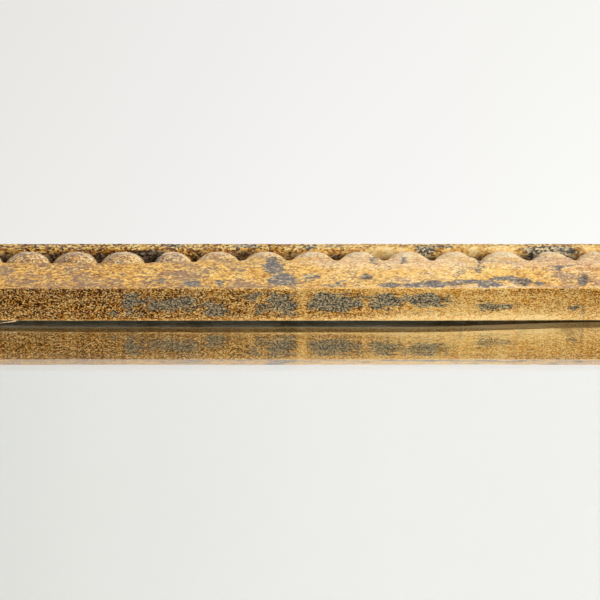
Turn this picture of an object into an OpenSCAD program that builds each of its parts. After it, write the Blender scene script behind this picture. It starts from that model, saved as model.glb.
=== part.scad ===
// Pier mirror: a tall giltwood frame with a row of beads round a silvered plate.
//
// The front faces -Y, the width lies along X and +Z is up. The origin is the centre of the wall
// plane, on which the backs of the four rails bear.
//
// A rail's section is drawn in two distances. "Out" runs from the sight edge, where the plate
// comes out from under the frame, to the frame's outer side. "Fore" runs from the front of the
// glass into the room.

/* [Frame] */
// Overall width
frame_w = 710; // [450:5:1100]
// Overall height
frame_h = 1550; // [1000:5:2200]
// Width of the frame's face, from the sight edge to the outer side
face_w = 36; // [34:0.1:60]
// Depth of the rails behind the front of the glass
back_depth = 30; // [29:0.5:45]
// Width of the outer fillet
fillet_w = 4.5; // [3:0.1:7]
// Height of the outer fillet above the glass
fillet_rise = 18.9; // [16:0.1:22]

/* [Sight moulding] */
// Width of the moulding, from the sight edge to the bead channel
sight_w = 10.8; // [9:0.1:12]
// Setback of the inner arris from the sight edge
arris_set = 1.8; // [1:0.1:3]
// Height of the inner arris above the glass
arris_rise = 15.5; // [12.5:0.1:18.5]
// Height of the crest beside the beads above the glass
crest_rise = 23.2; // [20.8:0.1:28]
// Depth of the hollow in the inner face
face_hollow = 0.35; // [0.1:0.05:0.6]

/* [Beads] */
// Space between a bead and each wall of its channel
bead_side_gap = 0.6; // [0.3:0.05:2]
// Height of the beads' centres above the glass
bead_rise = 12.7; // [11.7:0.1:14.2]
// Least space between two beads
bead_gap = 0.5; // [0.2:0.1:3]
// Thickness of the strip that the beads stand on
strip_t = 2; // [1:0.1:4]
// Play between the strip and each wall of its channel
strip_play = 0.2; // [0.05:0.05:0.5]

/* [Rebate] */
// Setback of the rail's lip from the sight edge
lip_set = 3.5; // [3:0.1:5]
// Air gap between the glass and the lip in front of it
lip_gap = 1.5; // [0.5:0.05:2.5]
// Height of the lip's front, and of the channel's floor, above the glass
lip_rise = 8.2; // [6:0.1:9.2]
// Width of the glass rebate, from the sight edge
rebate_w = 10.7; // [9:0.1:13]
// Width of the ledge that the backboards land on
ledge_w = 7.3; // [6:0.1:9]
// Depth of that ledge behind the front of the glass
ledge_back = 8; // [7.5:0.1:9.5]

/* [Mitre keys] */
// Length of a key's two short sides
key_leg = 24; // [15:1:30]
// Thickness of a key
key_t = 3; // [2:0.5:4]
// Keys in each corner
key_count = 2; // [1:1:2]

/* [Plate] */
// Thickness of the glass
glass_t = 3.5; // [3:0.1:6]
// Thickness of the silvering and its paint
silver_t = 0.1; // [0.05:0.01:0.3]
// Play between the glass's edge and the rebate's wall
glass_play = 1; // [0.5:0.1:2]
// Length of a glazing or setting block
block_l = 40; // [20:1:80]
// Width of a glazing block, across the rebate
block_w = 7; // [4:0.5:9]
// Glazing blocks along each stile
stile_blocks = 5; // [3:1:8]
// Glazing blocks along each rail
rail_blocks = 3; // [2:1:5]

/* [Back] */
// Thickness of the backboards
board_t = 7; // [6:0.1:8]
// Open joint between two boards
board_gap = 1; // [0.5:0.1:3]
// Play between the boards and the ledge's wall
board_play = 0.5; // [0.2:0.1:1.5]
// Height of a batten
batten_h = 46; // [44:1:80]
// Thickness of a batten
batten_t = 7; // [6:0.1:8]
// Depth to which a batten is let into the stiles
batten_let = 11; // [8:0.5:13]
// Play round a batten's end in its notch
batten_play = 0.3; // [0.1:0.05:1]
// Distance from the frame's ends to the middle of the hanging rail and the lower batten
batten_drop = 300; // [120:5:400]

/* [Hangers] */
// Width of a hanger plate
plate_w = 20; // [17:0.5:24]
// Height of a hanger plate
plate_h = 36; // [32:0.5:42]
// Thickness of a hanger plate
plate_t = 1.6; // [1.5:0.1:2.5]
// Space between the knuckle and the head of the plate's upper screw
plate_screw_edge = 1; // [0.5:0.1:3]
// Distance between a plate's two screws
plate_screw_step = 14; // [12:0.5:18]
// Width of the knuckle that holds the ring
knuckle_w = 11; // [8:0.5:13]
// Wall of the knuckle
knuckle_wall = 1.3; // [1:0.1:2]
// Play of the ring's bar in the knuckle, on the radius
knuckle_play = 0.08; // [0.03:0.01:0.1]
// Space between the hanging ring and its plate
ring_stand = 0.6; // [0.4:0.1:1]
// Radius of the ring's wire
wire_r = 1.75; // [1.5:0.05:2.25]
// Width of the ring's eye
eye_w = 22; // [20:0.5:26]
// Bend radius of the ring's upper corners, on the wire's centre
bend_r = 5; // [3:0.5:6]
// Length of the ring's straight legs
leg_l = 6; // [3:0.5:9]

/* [Fasteners] */
// Width of a cut nail's square shank
nail_w = 1.6; // [1.2:0.1:2.2]
// Length of a cut nail's shank
nail_l = 16; // [12:0.5:18]
// Width of a cut nail's head
nail_head_w = 3.8; // [3:0.1:5]
// Thickness of a cut nail's head
nail_head_t = 1; // [0.6:0.1:1.5]
// Radius of a wood screw's shank
screw_r = 1.5; // [1.2:0.1:1.8]
// Radius of a wood screw's head
head_r = 3; // [2.6:0.1:3.6]
// Depth of a wood screw's countersunk head
head_t = 1.4; // [1:0.1:1.5]
// Length of the screws that hold the battens to the stiles
stile_screw_l = 20; // [15:0.5:24]
// Length of the screws that hold the battens and the hangers to the boards
board_screw_l = 12; // [10:0.5:13]
// Play round a screw in its hole
screw_play = 0.05; // [0.02:0.01:0.1]
// Width and depth of a screw's slot
slot_w = 0.8; // [0.5:0.1:1.1]

/* [Hidden] */
$fn = 48;

gilt = "#c9994f";
pine = "#b99467";
oak = "#8c6a45";
iron = "#4d4944";

// How far a cut reaches past the face that it opens, so that no skin is left there
spare = 2;
// Facets of the hollow's arc, whose radius is several times the moulding's width
hollow_fn = 240;

// Half sizes of the sight opening, the glass rebate and the ledge's wall
sight_x = frame_w / 2 - face_w;
sight_z = frame_h / 2 - face_w;
rebate_x = sight_x + rebate_w;
rebate_z = sight_z + rebate_w;
ledge_x = rebate_x + ledge_w;
ledge_z = rebate_z + ledge_w;

// Planes along Y, from the room to the wall
glass_front_y = -back_depth;
silver_y = glass_front_y + glass_t;
ledge_y = glass_front_y + ledge_back;
board_back_y = ledge_y + board_t;
batten_back_y = board_back_y + batten_t;
plate_back_y = batten_back_y + plate_t;

// The bead channel runs from the sight moulding to the outer fillet, with the beads in its middle
channel_out = face_w - fillet_w;
bead_out = (sight_w + channel_out) / 2;
bead_r = (channel_out - sight_w) / 2 - bead_side_gap;

// The turns and lengths of the four sides: a side is drawn as the top one and turned about Y
top_side = [0, frame_w, frame_h];
right_side = [90, frame_h, frame_w];
bottom_side = [180, frame_w, frame_h];
left_side = [-90, frame_h, frame_w];

// Backboards, one for each of the four backboard nodes
board_count = 4;
boards_x = ledge_x - board_play;
boards_z = ledge_z - board_play;
board_w = (2 * boards_x - (board_count - 1) * board_gap) / board_count;
function board_mid(i) = -boards_x + board_w / 2 + i * (board_w + board_gap);

// Battens
hang_z = frame_h / 2 - batten_drop;
batten_x = ledge_x + batten_let - batten_play;

// Nails: two in each end of each board, and two in each bay between battens along the long edges
nail_x = rebate_x + ledge_w / 2;
nail_z = rebate_z + ledge_w / 2;
bays = [boards_z, hang_z, 0, -hang_z, -boards_z];
end_nails = [
    for (i = [0 : board_count - 1], side = [-1, 1], end = [-1, 1])
        [board_mid(i) + side * board_w / 4, end * nail_z]
];
edge_nails = [
    for (side = [-1, 1], bay = [0 : len(bays) - 2], third = [1, 2])
        [side * nail_x, bays[bay] + (bays[bay + 1] - bays[bay]) * third / 3]
];

// Hangers stand in the middle of the outer boards, with the ring's axis near the plate's top
hanger_x = board_mid(board_count - 1);
axis_y = plate_back_y + ring_stand + wire_r;
knuckle_r = wire_r + knuckle_play + knuckle_wall;
axis_z = hang_z + plate_h / 2 - knuckle_r;
plate_screw_top = axis_z - knuckle_r - plate_screw_edge - head_r;
leg_x = eye_w / 2 + wire_r;

// ---- Section tools ----

// A point of a section, as its Y and its height above the sight edge
function at(out, fore) = [glass_front_y - fore, out];

// A bar of the given length along X with the section drawn by its children
module bar(length) {
    rotate([90, 0, 90]) linear_extrude(length, center = true) children();
}

// The space between the two mitres of a side
module mitre_wedge(length) {
    sight_half = length / 2 - face_w;
    reach = face_w + spare;
    translate([0, spare, 0])
        rotate([90, 0, 0])
            linear_extrude(back_depth + crest_rise + 2 * spare)
                polygon([
                    [-(sight_half - spare), -spare], [sight_half - spare, -spare],
                    [sight_half + reach, reach], [-(sight_half + reach), reach]
                ]);
}

// Puts a side's children, drawn as the top side with Z from its sight edge, where the side belongs
module mitred(side) {
    rotate([0, side[0], 0])
        translate([0, 0, side[2] / 2 - face_w])
            intersection() {
                union() children();
                mitre_wedge(side[1]);
            }
}

// ---- Rails ----

module rail_section() {
    polygon([
        at(lip_set, lip_gap), at(lip_set, lip_rise), at(channel_out, lip_rise),
        at(channel_out, fillet_rise), at(face_w, fillet_rise), at(face_w, -back_depth),
        at(rebate_w + ledge_w, -back_depth), at(rebate_w + ledge_w, -ledge_back),
        at(rebate_w, -ledge_back), at(rebate_w, lip_gap)
    ]);
}

module rail(side) {
    difference() {
        mitred(side) bar(side[1]) rail_section();
        keys(spare);
        for (spot = concat(end_nails, edge_nails)) place_on(board_back_y, spot) cut_nail();
        for (z = [hang_z, 0, -hang_z]) {
            batten_notch(z);
            stile_screw_spots(z) screw_blank(stile_screw_l, screw_play);
        }
    }
}

module top_rail() {
    color(gilt) rail(top_side);
}

module bottom_rail() {
    color(gilt) rail(bottom_side);
}

module left_stile() {
    color(gilt) rail(left_side);
}

module right_stile() {
    color(gilt) rail(right_side);
}

// Triangular keys across the mitres, each corner's set spread evenly over the rail's outer side
module keys(over) {
    reach = key_leg + over;
    for (sx = [-1, 1], sz = [-1, 1], i = [1 : key_count])
        translate([sx * frame_w / 2, -(back_depth + fillet_rise) * i / (key_count + 1), sz * frame_h / 2])
            rotate([90, 0, 0])
                linear_extrude(key_t, center = true)
                    polygon([[sx * over, sz * over], [-sx * reach, sz * over], [sx * over, -sz * reach]]);
}

module corner_keys() {
    color(oak) keys(0);
}

// ---- Sight moulding ----

// The inner face's hollow is an arc through the lip's edge and the inner arris
module sight_section() {
    foot = at(0, lip_gap);
    arris = at(arris_set, arris_rise);
    chord = arris - foot;
    hollow_r = (norm(chord) ^ 2 / 4 + face_hollow ^ 2) / (2 * face_hollow);
    inward = [chord[1], -chord[0]] / norm(chord);
    toward_plate = inward[1] < 0 ? inward : -inward;
    difference() {
        polygon([
            foot, arris, at(sight_w, crest_rise), at(sight_w, lip_rise),
            at(lip_set, lip_rise), at(lip_set, lip_gap)
        ]);
        translate((foot + arris) / 2 + toward_plate * (hollow_r - face_hollow))
            circle(r = hollow_r, $fn = hollow_fn);
    }
}

module sight_moulding(side) {
    color(gilt) mitred(side) bar(side[1]) sight_section();
}

module sight_moulding_top() {
    sight_moulding(top_side);
}

module sight_moulding_bottom() {
    sight_moulding(bottom_side);
}

module sight_moulding_left() {
    sight_moulding(left_side);
}

module sight_moulding_right() {
    sight_moulding(right_side);
}

// ---- Beads ----

// A ball cut flat at the channel's floor, with its centre at the origin and its crown towards +Z
module bead() {
    rotate_extrude()
        intersection() {
            circle(r = bead_r);
            translate([0, lip_rise - bead_rise]) square([bead_r, 2 * bead_r]);
        }
}

// The row starts and ends on the mitres, and its beads are spread evenly between them
module bead_row(length) {
    row = length - 2 * (face_w - bead_out);
    count = floor(row / (2 * bead_r + bead_gap));
    for (i = [0 : count])
        translate([-row / 2 + i * row / count, at(0, bead_rise)[0], bead_out])
            rotate([90, 0, 0]) bead();
}

module bead_strip(side) {
    near = sight_w + strip_play;
    far = channel_out - strip_play;
    color(gilt)
        mitred(side) {
            bar(side[1])
                polygon([
                    at(near, lip_rise), at(near, lip_rise + strip_t),
                    at(far, lip_rise + strip_t), at(far, lip_rise)
                ]);
            bead_row(side[1]);
        }
}

module bead_strip_top() {
    bead_strip(top_side);
}

module bead_strip_bottom() {
    bead_strip(bottom_side);
}

module bead_strip_left() {
    bead_strip(left_side);
}

module bead_strip_right() {
    bead_strip(right_side);
}

// ---- Plate ----

// A slab over the middle of the frame, from one Y plane to another
module slab(half_x, half_z, from_y, to_y) {
    translate([-half_x, from_y, -half_z]) cube([2 * half_x, to_y - from_y, 2 * half_z]);
}

module mirror_glass() {
    color("#bfd6cf") slab(rebate_x - glass_play, rebate_z - glass_play, glass_front_y, silver_y);
}

module silvering() {
    color("#d7dadb")
        slab(rebate_x - glass_play, rebate_z - glass_play, silver_y, silver_y + silver_t);
}

// The glass's lower edge stands on two blocks as thick as its play
module setting_blocks() {
    color(oak)
        for (side = [-1, 1])
            translate([side * rebate_x / 2 - block_l / 2, glass_front_y, -rebate_z])
                cube([block_l, glass_t, glass_play]);
}

// Blocks glued to the rebate's wall fill the space from the silvering to the backboards
module glazing_blocks() {
    deep = ledge_back - glass_t - silver_t;
    front_y = silver_y + silver_t;
    color(pine) {
        for (side = [-1, 1], i = [1 : stile_blocks])
            translate([
                side * (rebate_x - block_w / 2) - block_w / 2, front_y,
                -rebate_z + 2 * rebate_z * i / (stile_blocks + 1) - block_l / 2
            ])
                cube([block_w, deep, block_l]);
        for (end = [-1, 1], i = [1 : rail_blocks])
            translate([
                -rebate_x + 2 * rebate_x * i / (rail_blocks + 1) - block_l / 2, front_y,
                end * (rebate_z - block_w / 2) - block_w / 2
            ])
                cube([block_l, deep, block_w]);
    }
}

// ---- Back ----

// Puts a fastener drawn on the origin, pointing towards -Y, on a face behind the frame
module place_on(face_y, spot) {
    translate([spot[0], face_y, spot[1]]) children();
}

module cut_nail() {
    translate([-nail_w / 2, -nail_l, -nail_w / 2]) cube([nail_w, nail_l, nail_w]);
    translate([-nail_head_w / 2, 0, -nail_head_w / 2])
        cube([nail_head_w, nail_head_t, nail_head_w]);
}

// A wood screw without its slot, grown by the play where it cuts its own hole
module screw_blank(length, play = 0) {
    rotate([90, 0, 0]) {
        cylinder(h = head_t, r1 = head_r + play, r2 = screw_r + play);
        cylinder(h = length - screw_r, r = screw_r + play);
        translate([0, 0, length - screw_r])
            cylinder(h = screw_r, r1 = screw_r + play, r2 = screw_r / 4);
    }
    if (play > 0) rotate([-90, 0, 0]) cylinder(h = spare, r = head_r + play);
}

module wood_screw(length) {
    difference() {
        screw_blank(length);
        cube([2 * head_r + spare, slot_w * 2, slot_w], center = true);
    }
}

module board(i) {
    color(pine)
        difference() {
            translate([board_mid(i) - board_w / 2, ledge_y, -boards_z])
                cube([board_w, board_t, 2 * boards_z]);
            for (spot = concat(end_nails, edge_nails)) place_on(board_back_y, spot) cut_nail();
            for (z = [hang_z, 0, -hang_z])
                board_screw_spots(z) screw_blank(board_screw_l, screw_play);
            plate_screw_spots() screw_blank(board_screw_l, screw_play);
        }
}

module backboard_1() {
    board(0);
}

module backboard_2() {
    board(1);
}

module backboard_3() {
    board(2);
}

module backboard_4() {
    board(3);
}

module board_nails() {
    color(iron)
        for (spot = concat(end_nails, edge_nails)) place_on(board_back_y, spot) cut_nail();
}

// Two screws hold each end of a batten to a stile
module stile_screw_spots(z) {
    for (side = [-1, 1], row = [-1, 1])
        place_on(batten_back_y, [side * (ledge_x + batten_let / 2), z + row * batten_h / 4])
            children();
}

// Two screws hold a batten to each board
module board_screw_spots(z) {
    for (i = [0 : board_count - 1], side = [-1, 1])
        place_on(batten_back_y, [board_mid(i) + side * board_w / 4, z]) children();
}

module batten_notch(z) {
    half_x = batten_x + batten_play;
    high = batten_h + 2 * batten_play;
    translate([-half_x, board_back_y, z - high / 2]) cube([2 * half_x, spare - board_back_y, high]);
}

module batten(z) {
    difference() {
        translate([0, 0, z]) slab(batten_x, batten_h / 2, board_back_y, batten_back_y);
        stile_screw_spots(z) screw_blank(stile_screw_l, screw_play);
        board_screw_spots(z) screw_blank(board_screw_l, screw_play);
    }
}

module hanging_rail() {
    color(oak)
        difference() {
            batten(hang_z);
            plate_screw_spots() screw_blank(board_screw_l, screw_play);
        }
}

module middle_batten() {
    color(oak) batten(0);
}

module lower_batten() {
    color(oak) batten(-hang_z);
}

module batten_screws() {
    color(iron)
        for (z = [hang_z, 0, -hang_z]) {
            stile_screw_spots(z) wood_screw(stile_screw_l);
            board_screw_spots(z) wood_screw(board_screw_l);
        }
}

// ---- Hangers ----

module plate_screw_spots(sides = [-1, 1]) {
    for (side = sides, row = [0, 1])
        place_on(plate_back_y, [side * hanger_x, plate_screw_top - row * plate_screw_step])
            children();
}

module hanger_plate(side) {
    color(iron)
        difference() {
            union() {
                translate([side * hanger_x - plate_w / 2, batten_back_y, hang_z - plate_h / 2])
                    cube([plate_w, plate_t, plate_h]);
                translate([side * hanger_x, axis_y, axis_z])
                    rotate([0, 90, 0]) cylinder(h = knuckle_w, r = knuckle_r, center = true);
            }
            translate([side * hanger_x, axis_y, axis_z])
                rotate([0, 90, 0])
                    cylinder(h = knuckle_w + spare, r = wire_r + knuckle_play, center = true);
            plate_screw_spots([side]) screw_blank(board_screw_l, screw_play);
        }
}

module hanger_plate_left() {
    hanger_plate(-1);
}

module hanger_plate_right() {
    hanger_plate(1);
}

module hanger_screws() {
    color(iron) plate_screw_spots() wood_screw(board_screw_l);
}

// A bar through the knuckle, two bends, two legs and a round bow, all of one wire
module hanging_ring(side) {
    color(iron)
        translate([side * hanger_x, axis_y, axis_z]) {
            rotate([0, 90, 0]) cylinder(h = 2 * (leg_x - bend_r), r = wire_r, center = true);
            for (turn = [0, 180])
                rotate([0, 0, turn]) {
                    translate([leg_x - bend_r, 0, -bend_r])
                        rotate([90, 0, 0])
                            rotate_extrude(angle = 90) translate([bend_r, 0]) circle(r = wire_r);
                    translate([leg_x, 0, -bend_r - leg_l]) cylinder(h = leg_l, r = wire_r);
                }
            translate([0, 0, -bend_r - leg_l])
                rotate([90, 0, 0])
                    rotate([0, 0, 180])
                        rotate_extrude(angle = 180) translate([leg_x, 0]) circle(r = wire_r);
        }
}

module hanging_ring_left() {
    hanging_ring(-1);
}

module hanging_ring_right() {
    hanging_ring(1);
}

top_rail();
bottom_rail();
left_stile();
right_stile();
sight_moulding_top();
sight_moulding_bottom();
sight_moulding_left();
sight_moulding_right();
bead_strip_top();
bead_strip_bottom();
bead_strip_left();
bead_strip_right();
corner_keys();
mirror_glass();
silvering();
setting_blocks();
glazing_blocks();
backboard_1();
backboard_2();
backboard_3();
backboard_4();
hanging_rail();
middle_batten();
lower_batten();
board_nails();
batten_screws();
hanger_plate_left();
hanger_plate_right();
hanger_screws();
hanging_ring_left();
hanging_ring_right();
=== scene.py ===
import math
from collections import namedtuple

import bmesh
import bpy
from mathutils import Matrix, Vector, noise


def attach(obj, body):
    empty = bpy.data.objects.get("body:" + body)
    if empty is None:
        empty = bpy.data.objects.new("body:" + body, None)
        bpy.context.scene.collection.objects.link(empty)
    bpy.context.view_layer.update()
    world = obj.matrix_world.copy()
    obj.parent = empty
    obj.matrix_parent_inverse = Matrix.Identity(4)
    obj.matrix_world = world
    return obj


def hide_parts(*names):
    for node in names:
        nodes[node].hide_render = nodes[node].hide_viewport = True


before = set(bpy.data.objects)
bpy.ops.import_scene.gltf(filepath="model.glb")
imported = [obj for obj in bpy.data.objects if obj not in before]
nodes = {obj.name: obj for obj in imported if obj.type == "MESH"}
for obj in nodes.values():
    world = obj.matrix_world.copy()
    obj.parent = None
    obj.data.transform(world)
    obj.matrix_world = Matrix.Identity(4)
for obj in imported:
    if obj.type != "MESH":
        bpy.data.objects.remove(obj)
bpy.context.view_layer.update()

# ---- Sizes, in millimetres ----
# A rail's section is drawn in two distances: "out" from the sight edge to the frame's outer side,
# and "fore" from the front of the glass into the room. "Along" runs the length of the rail.

MM = 0.001
FRAME_W, FRAME_H, FACE_W, BACK_DEPTH = 710.0, 1550.0, 36.0, 30.0
LIP_SET, LIP_GAP, LIP_RISE = 3.5, 1.5, 8.2
ARRIS_SET, ARRIS_RISE, FACE_HOLLOW = 1.8, 15.5, 0.35
SIGHT_W, CREST_RISE = 10.8, 23.2
FILLET_W, FILLET_RISE = 4.5, 18.9
CHANNEL_OUT = FACE_W - FILLET_W
BEAD_OUT, BEAD_R, BEAD_GAP = 21.15, 9.75, 0.5
STRIP_T, STRIP_PLAY = 2.0, 0.2
GLASS_T, SILVER_T = 3.5, 0.1
REBATE_W, GLASS_PLAY = 10.7, 1.0

# Each side is drawn as the top one and turned about Y: its turn, its length, the frame's size
# across it, and where its own noise starts, so that no two sides wear alike
Side = namedtuple("Side", "turn length across start")
SIDES = {
    "top": Side(0, FRAME_W, FRAME_H, 0.0),
    "right": Side(90, FRAME_H, FRAME_W, 2000.0),
    "bottom": Side(180, FRAME_W, FRAME_H, 4000.0),
    "left": Side(-90, FRAME_H, FRAME_W, 6000.0),
}

# The photographed stretch is the middle of the top rail; the wear there is placed one by one
SEEN_HALF, SEEN_FADE = 127.0, 12.0

# How far apart two seeds lie in the noise, and how its finer octaves weaken and shrink
SEED_APART, OCTAVE_FALL, OCTAVE_FINER = 7.31, 0.9, 2.1


def smooth(low, high, value):
    """0 at low, 1 at high, with a soft start and end. Low may be the larger."""
    share = min(max((value - low) / (high - low), 0.0), 1.0)
    return share * share * (3.0 - 2.0 * share)


def mixed(a, b, share):
    return a + (b - a) * share


def rough(along, girth, size_along, size_girth, seed, octaves=1):
    """Noise of about -1 to 1 whose features have these sizes along and across the rail."""
    spot = Vector((along / size_along, girth / size_girth, seed * SEED_APART))
    if octaves == 1:
        return noise.noise(spot)
    return noise.fractal(spot, OCTAVE_FALL, OCTAVE_FINER, octaves)


def at(out, fore, along=0.0):
    """A point of the section on the side that is drawn, with Z from the sight edge."""
    return Vector((along, -(BACK_DEPTH + fore), out))


def mesh_of(bm, name):
    """The mesh of a bmesh, which is then let go."""
    mesh = bpy.data.meshes.new(name)
    bm.to_mesh(mesh)
    bm.free()
    return mesh


def set_down(name, data):
    """A new object in the scene that shows this mesh, lamp or camera."""
    thing = bpy.data.objects.new(name, data)
    bpy.context.scene.collection.objects.link(thing)
    return thing


# ---- Camera ----
# It looks up at the top rail from in front and below, 62 degrees off the glass's normal

VIEW_TILT = math.radians(62.0)
VIEW_DISTANCE = 1.034
VIEW_LENS = 148.8
# The glass under the sight edge, and how far it lies below the picture's centre
AIM = Vector((-0.0054, -BACK_DEPTH * MM, (FRAME_H / 2 - FACE_W) * MM))
AIM_DROP = 0.009878


def make_camera():
    look = Vector((0.0, math.cos(VIEW_TILT), math.sin(VIEW_TILT)))
    up = Vector((0.0, -math.sin(VIEW_TILT), math.cos(VIEW_TILT)))
    lens = bpy.data.cameras.new("view")
    lens.lens = VIEW_LENS
    lens.sensor_width = 36.0
    lens.clip_start, lens.clip_end = 0.05, 60.0
    camera = set_down("view", lens)
    camera.location = AIM - look * VIEW_DISTANCE + up * AIM_DROP
    camera.rotation_euler = (math.radians(90.0) + VIEW_TILT, 0.0, 0.0)
    bpy.context.scene.camera = camera


# ---- Material tools ----

def linear(colour):
    """An sRGB hex colour as the linear colour that a shader takes."""
    shares = [int(colour[i:i + 2], 16) / 255 for i in (1, 3, 5)]
    return [c / 12.92 if c <= 0.04045 else ((c + 0.055) / 1.055) ** 2.4 for c in shares] + [1.0]


def add(tree, kind, inputs=(), stops=(), **settings):
    """Adds a shader node. inputs: its sockets' values, in order or by name or number. Each is a
    value, a socket, or a node, whose first open output is used. stops: the colours of a ramp."""
    new = tree.nodes.new("ShaderNode" + kind)
    for name, value in settings.items():
        setattr(new, name, value)
    for socket, value in inputs.items() if isinstance(inputs, dict) else enumerate(inputs):
        if isinstance(value, bpy.types.Node):
            value = next(o for o in value.outputs if o.enabled)
        if isinstance(value, bpy.types.NodeSocket):
            tree.links.new(value, new.inputs[socket])
        else:
            new.inputs[socket].default_value = value
    if stops:
        elements = new.color_ramp.elements
        while len(elements) < len(stops):
            elements.new(0.5)
        for element, (place, colour) in zip(elements, stops):
            element.position = place
            element.color = linear(colour)
    return new


def new_material(name):
    made = bpy.data.materials.new(name)
    made.use_nodes = True
    made.node_tree.nodes.clear()
    return made, made.node_tree


# ---- Gilding ----

# The gilded meshes carry where each point is in its section ("grain", in millimetres), and these
# marks of wear and dirt, which carry painted light too: the second also paints shade in recesses,
# and the third and fourth also paint highlights and light from the right
WEAR = ("worn", "dirt_and_shade", "pale", "clean")


def gilding(name, leaf, slate, gesso, streak, grit, share, contrast, lift, metal, gloss, dull,
            relief, pores, flecks, veils, torn=(2.4, 1.0), bare_at=1.67, soften=0.2, coat=0.0,
            waxy=0.35):
    """Leaf gold over ochre bole and gesso, in a pattern that follows the rail.

    leaf: ramp of the gold from its pits to its highlights. slate, gesso: ramps of what shows where
    the leaf is gone and where it is rubbed thin. streak, grit: sizes of the burnishing streaks and
    of the gesso's grain, along and across, in millimetres. share: how much of the pattern is grit.
    contrast: how far the pattern drives the ramps. lift: how much brighter clean gold is. metal,
    gloss, dull: the shader's metallic value, and its roughness where gold shows and where it is
    gone. relief: depth of the grit. pores, veils: strength of the dark pores and of the mauve-grey
    veils. flecks: gold left on bare places. torn: size of their torn edges. bare_at: how worn a
    place has to be to show the ground. soften: how much calmer clean gold is. coat: wax over the
    leaf. waxy: how much of a plain, colourless gloss there is.
    """
    made, t = new_material(name)
    grain = add(t, "Attribute", attribute_name="grain").outputs["Vector"]
    worn, dirt_and_shade, pale, clean = [
        add(t, "Attribute", attribute_name=mark).outputs["Fac"] for mark in WEAR]

    def pattern(kind, along, across, start, **inputs):
        """A texture with features of this size along and across the rail. Its start and its turn
        keep it clear of the other patterns and of the mesh's own lines."""
        placed = add(t, "Mapping", {
            "Vector": grain, "Location": (start, start * 0.7, start * 1.3),
            "Rotation": (0.6, 0.5, 0.7), "Scale": (1 / along, 1 / across, 1 / across)})
        return add(t, kind, {"Vector": placed, "Scale": 1.0, **inputs})

    streaks = pattern("TexNoise", streak[0], streak[1], 3.0, Detail=4.0, Roughness=0.65)
    # Each grain of the gesso catches the light as one small facet
    facets = pattern("TexVoronoi", grit[0], grit[1], 7.0).outputs["Color"]
    lumps = pattern("TexNoise", grit[0] * 1.4, grit[1] * 1.4, 11.0, Detail=2.0, Roughness=0.65)
    grains = add(t, "Mix", {0: 0.7, 2: lumps, 3: facets}, data_type="FLOAT").outputs[0]
    clouds = pattern("TexNoise", 14.0, 5.0, 23.0, Detail=3.0, Roughness=0.65)
    edges = pattern("TexNoise", torn[0], torn[1], 37.0, Detail=5.0, Roughness=0.65)
    dashes = pattern("TexNoise", 2.1, 0.42, 51.0, Detail=2.0, Roughness=0.65)

    # The gold: grit and streaks together, then broad clouds, then how clean the whole stretch is
    mingled = add(t, "Mix", {0: share, 2: streaks, 3: grains}, data_type="FLOAT")
    sharper = add(t, "Math", (mingled, contrast, 0.5 - contrast / 2), operation="MULTIPLY_ADD")
    calm = add(t, "Math", (clean, soften), operation="MULTIPLY")
    calmed = add(t, "Mix", {0: calm, 2: sharper, 3: 0.55}, data_type="FLOAT")
    clouded = add(t, "Math", (clouds, 0.55, calmed), operation="MULTIPLY_ADD")
    lifted = add(t, "Math", (clean, lift, clouded), operation="MULTIPLY_ADD")
    centred = add(t, "Math", (lifted, 0.275 + lift / 2), operation="SUBTRACT")
    gold = add(t, "ValToRGB", (centred,), stops=leaf)

    # Mauve-grey veils where the leaf is thin, mostly where it hasn't been cleaned
    veil = add(t, "Math", (clean, -0.12, clouds), operation="MULTIPLY_ADD")
    ragged_veil = add(t, "Math", (mingled, -0.7, veil), operation="MULTIPLY_ADD")
    veiled = add(t, "MapRange", (ragged_veil, 0.06, 0.26, 0.0, veils))
    thin = add(t, "Mix", {0: veiled, 6: gold, 7: linear("#8e746a")}, data_type="RGBA")

    # Short dark pores that run with the rail
    pored = add(t, "MapRange", (dashes, 0.60, 0.68, 0.0, pores))
    pitted = add(t, "Mix", {0: pored, 6: thin, 7: linear("#5f4834")}, data_type="RGBA")

    # Rubbed places, where the gesso shows through the thinned leaf
    rub = add(t, "Math", (edges, 0.9, pale), operation="MULTIPLY_ADD")
    rubbed = add(t, "MapRange", (rub, 0.72, 1.12, 0.0, 0.9))
    chalk = add(t, "ValToRGB", (centred,), stops=gesso)
    thinned = add(t, "Mix", {0: rubbed, 6: pitted, 7: chalk}, data_type="RGBA")

    # Bare places, where leaf and bole are gone down to the slate-grey ground; flecks of gold stay
    streaked = add(t, "Math", (streaks, 0.5, worn), operation="MULTIPLY_ADD")
    eased = add(t, "Math", (streaked, 0.25), operation="SUBTRACT")
    bare_edge = add(t, "Math", (edges, 2.2, eased), operation="MULTIPLY_ADD")
    bare = add(t, "MapRange", (bare_edge, bare_at - 0.06, bare_at + 0.06, 0.0, 1.0))
    left_gold = add(t, "MapRange", (sharper, 0.60, 0.95, 1.0, 1.0 - flecks))
    bare_kept = add(t, "Math", (bare, left_gold), operation="MULTIPLY")
    ground = add(t, "ValToRGB", (sharper,), stops=slate)
    exposed = add(t, "Mix", {0: bare_kept, 6: thinned, 7: ground}, data_type="RGBA")

    # Soot and old size in the hollows, and painted shade in the recesses between the parts
    soot_and_shade = add(t, "Math", (grains, 0.8, dirt_and_shade), operation="MULTIPLY_ADD")
    sooty_and_shaded = add(t, "MapRange", (soot_and_shade, 0.60, 1.50, 0.0, 0.95))
    grime_and_shade = add(t, "ValToRGB", (sharper,), stops=[
        (0.10, "#3a3027"), (0.50, "#786a5c"), (0.90, "#ada08f")])
    colour = add(t, "Mix", {0: sooty_and_shaded, 6: exposed, 7: grime_and_shade}, data_type="RGBA")

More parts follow.
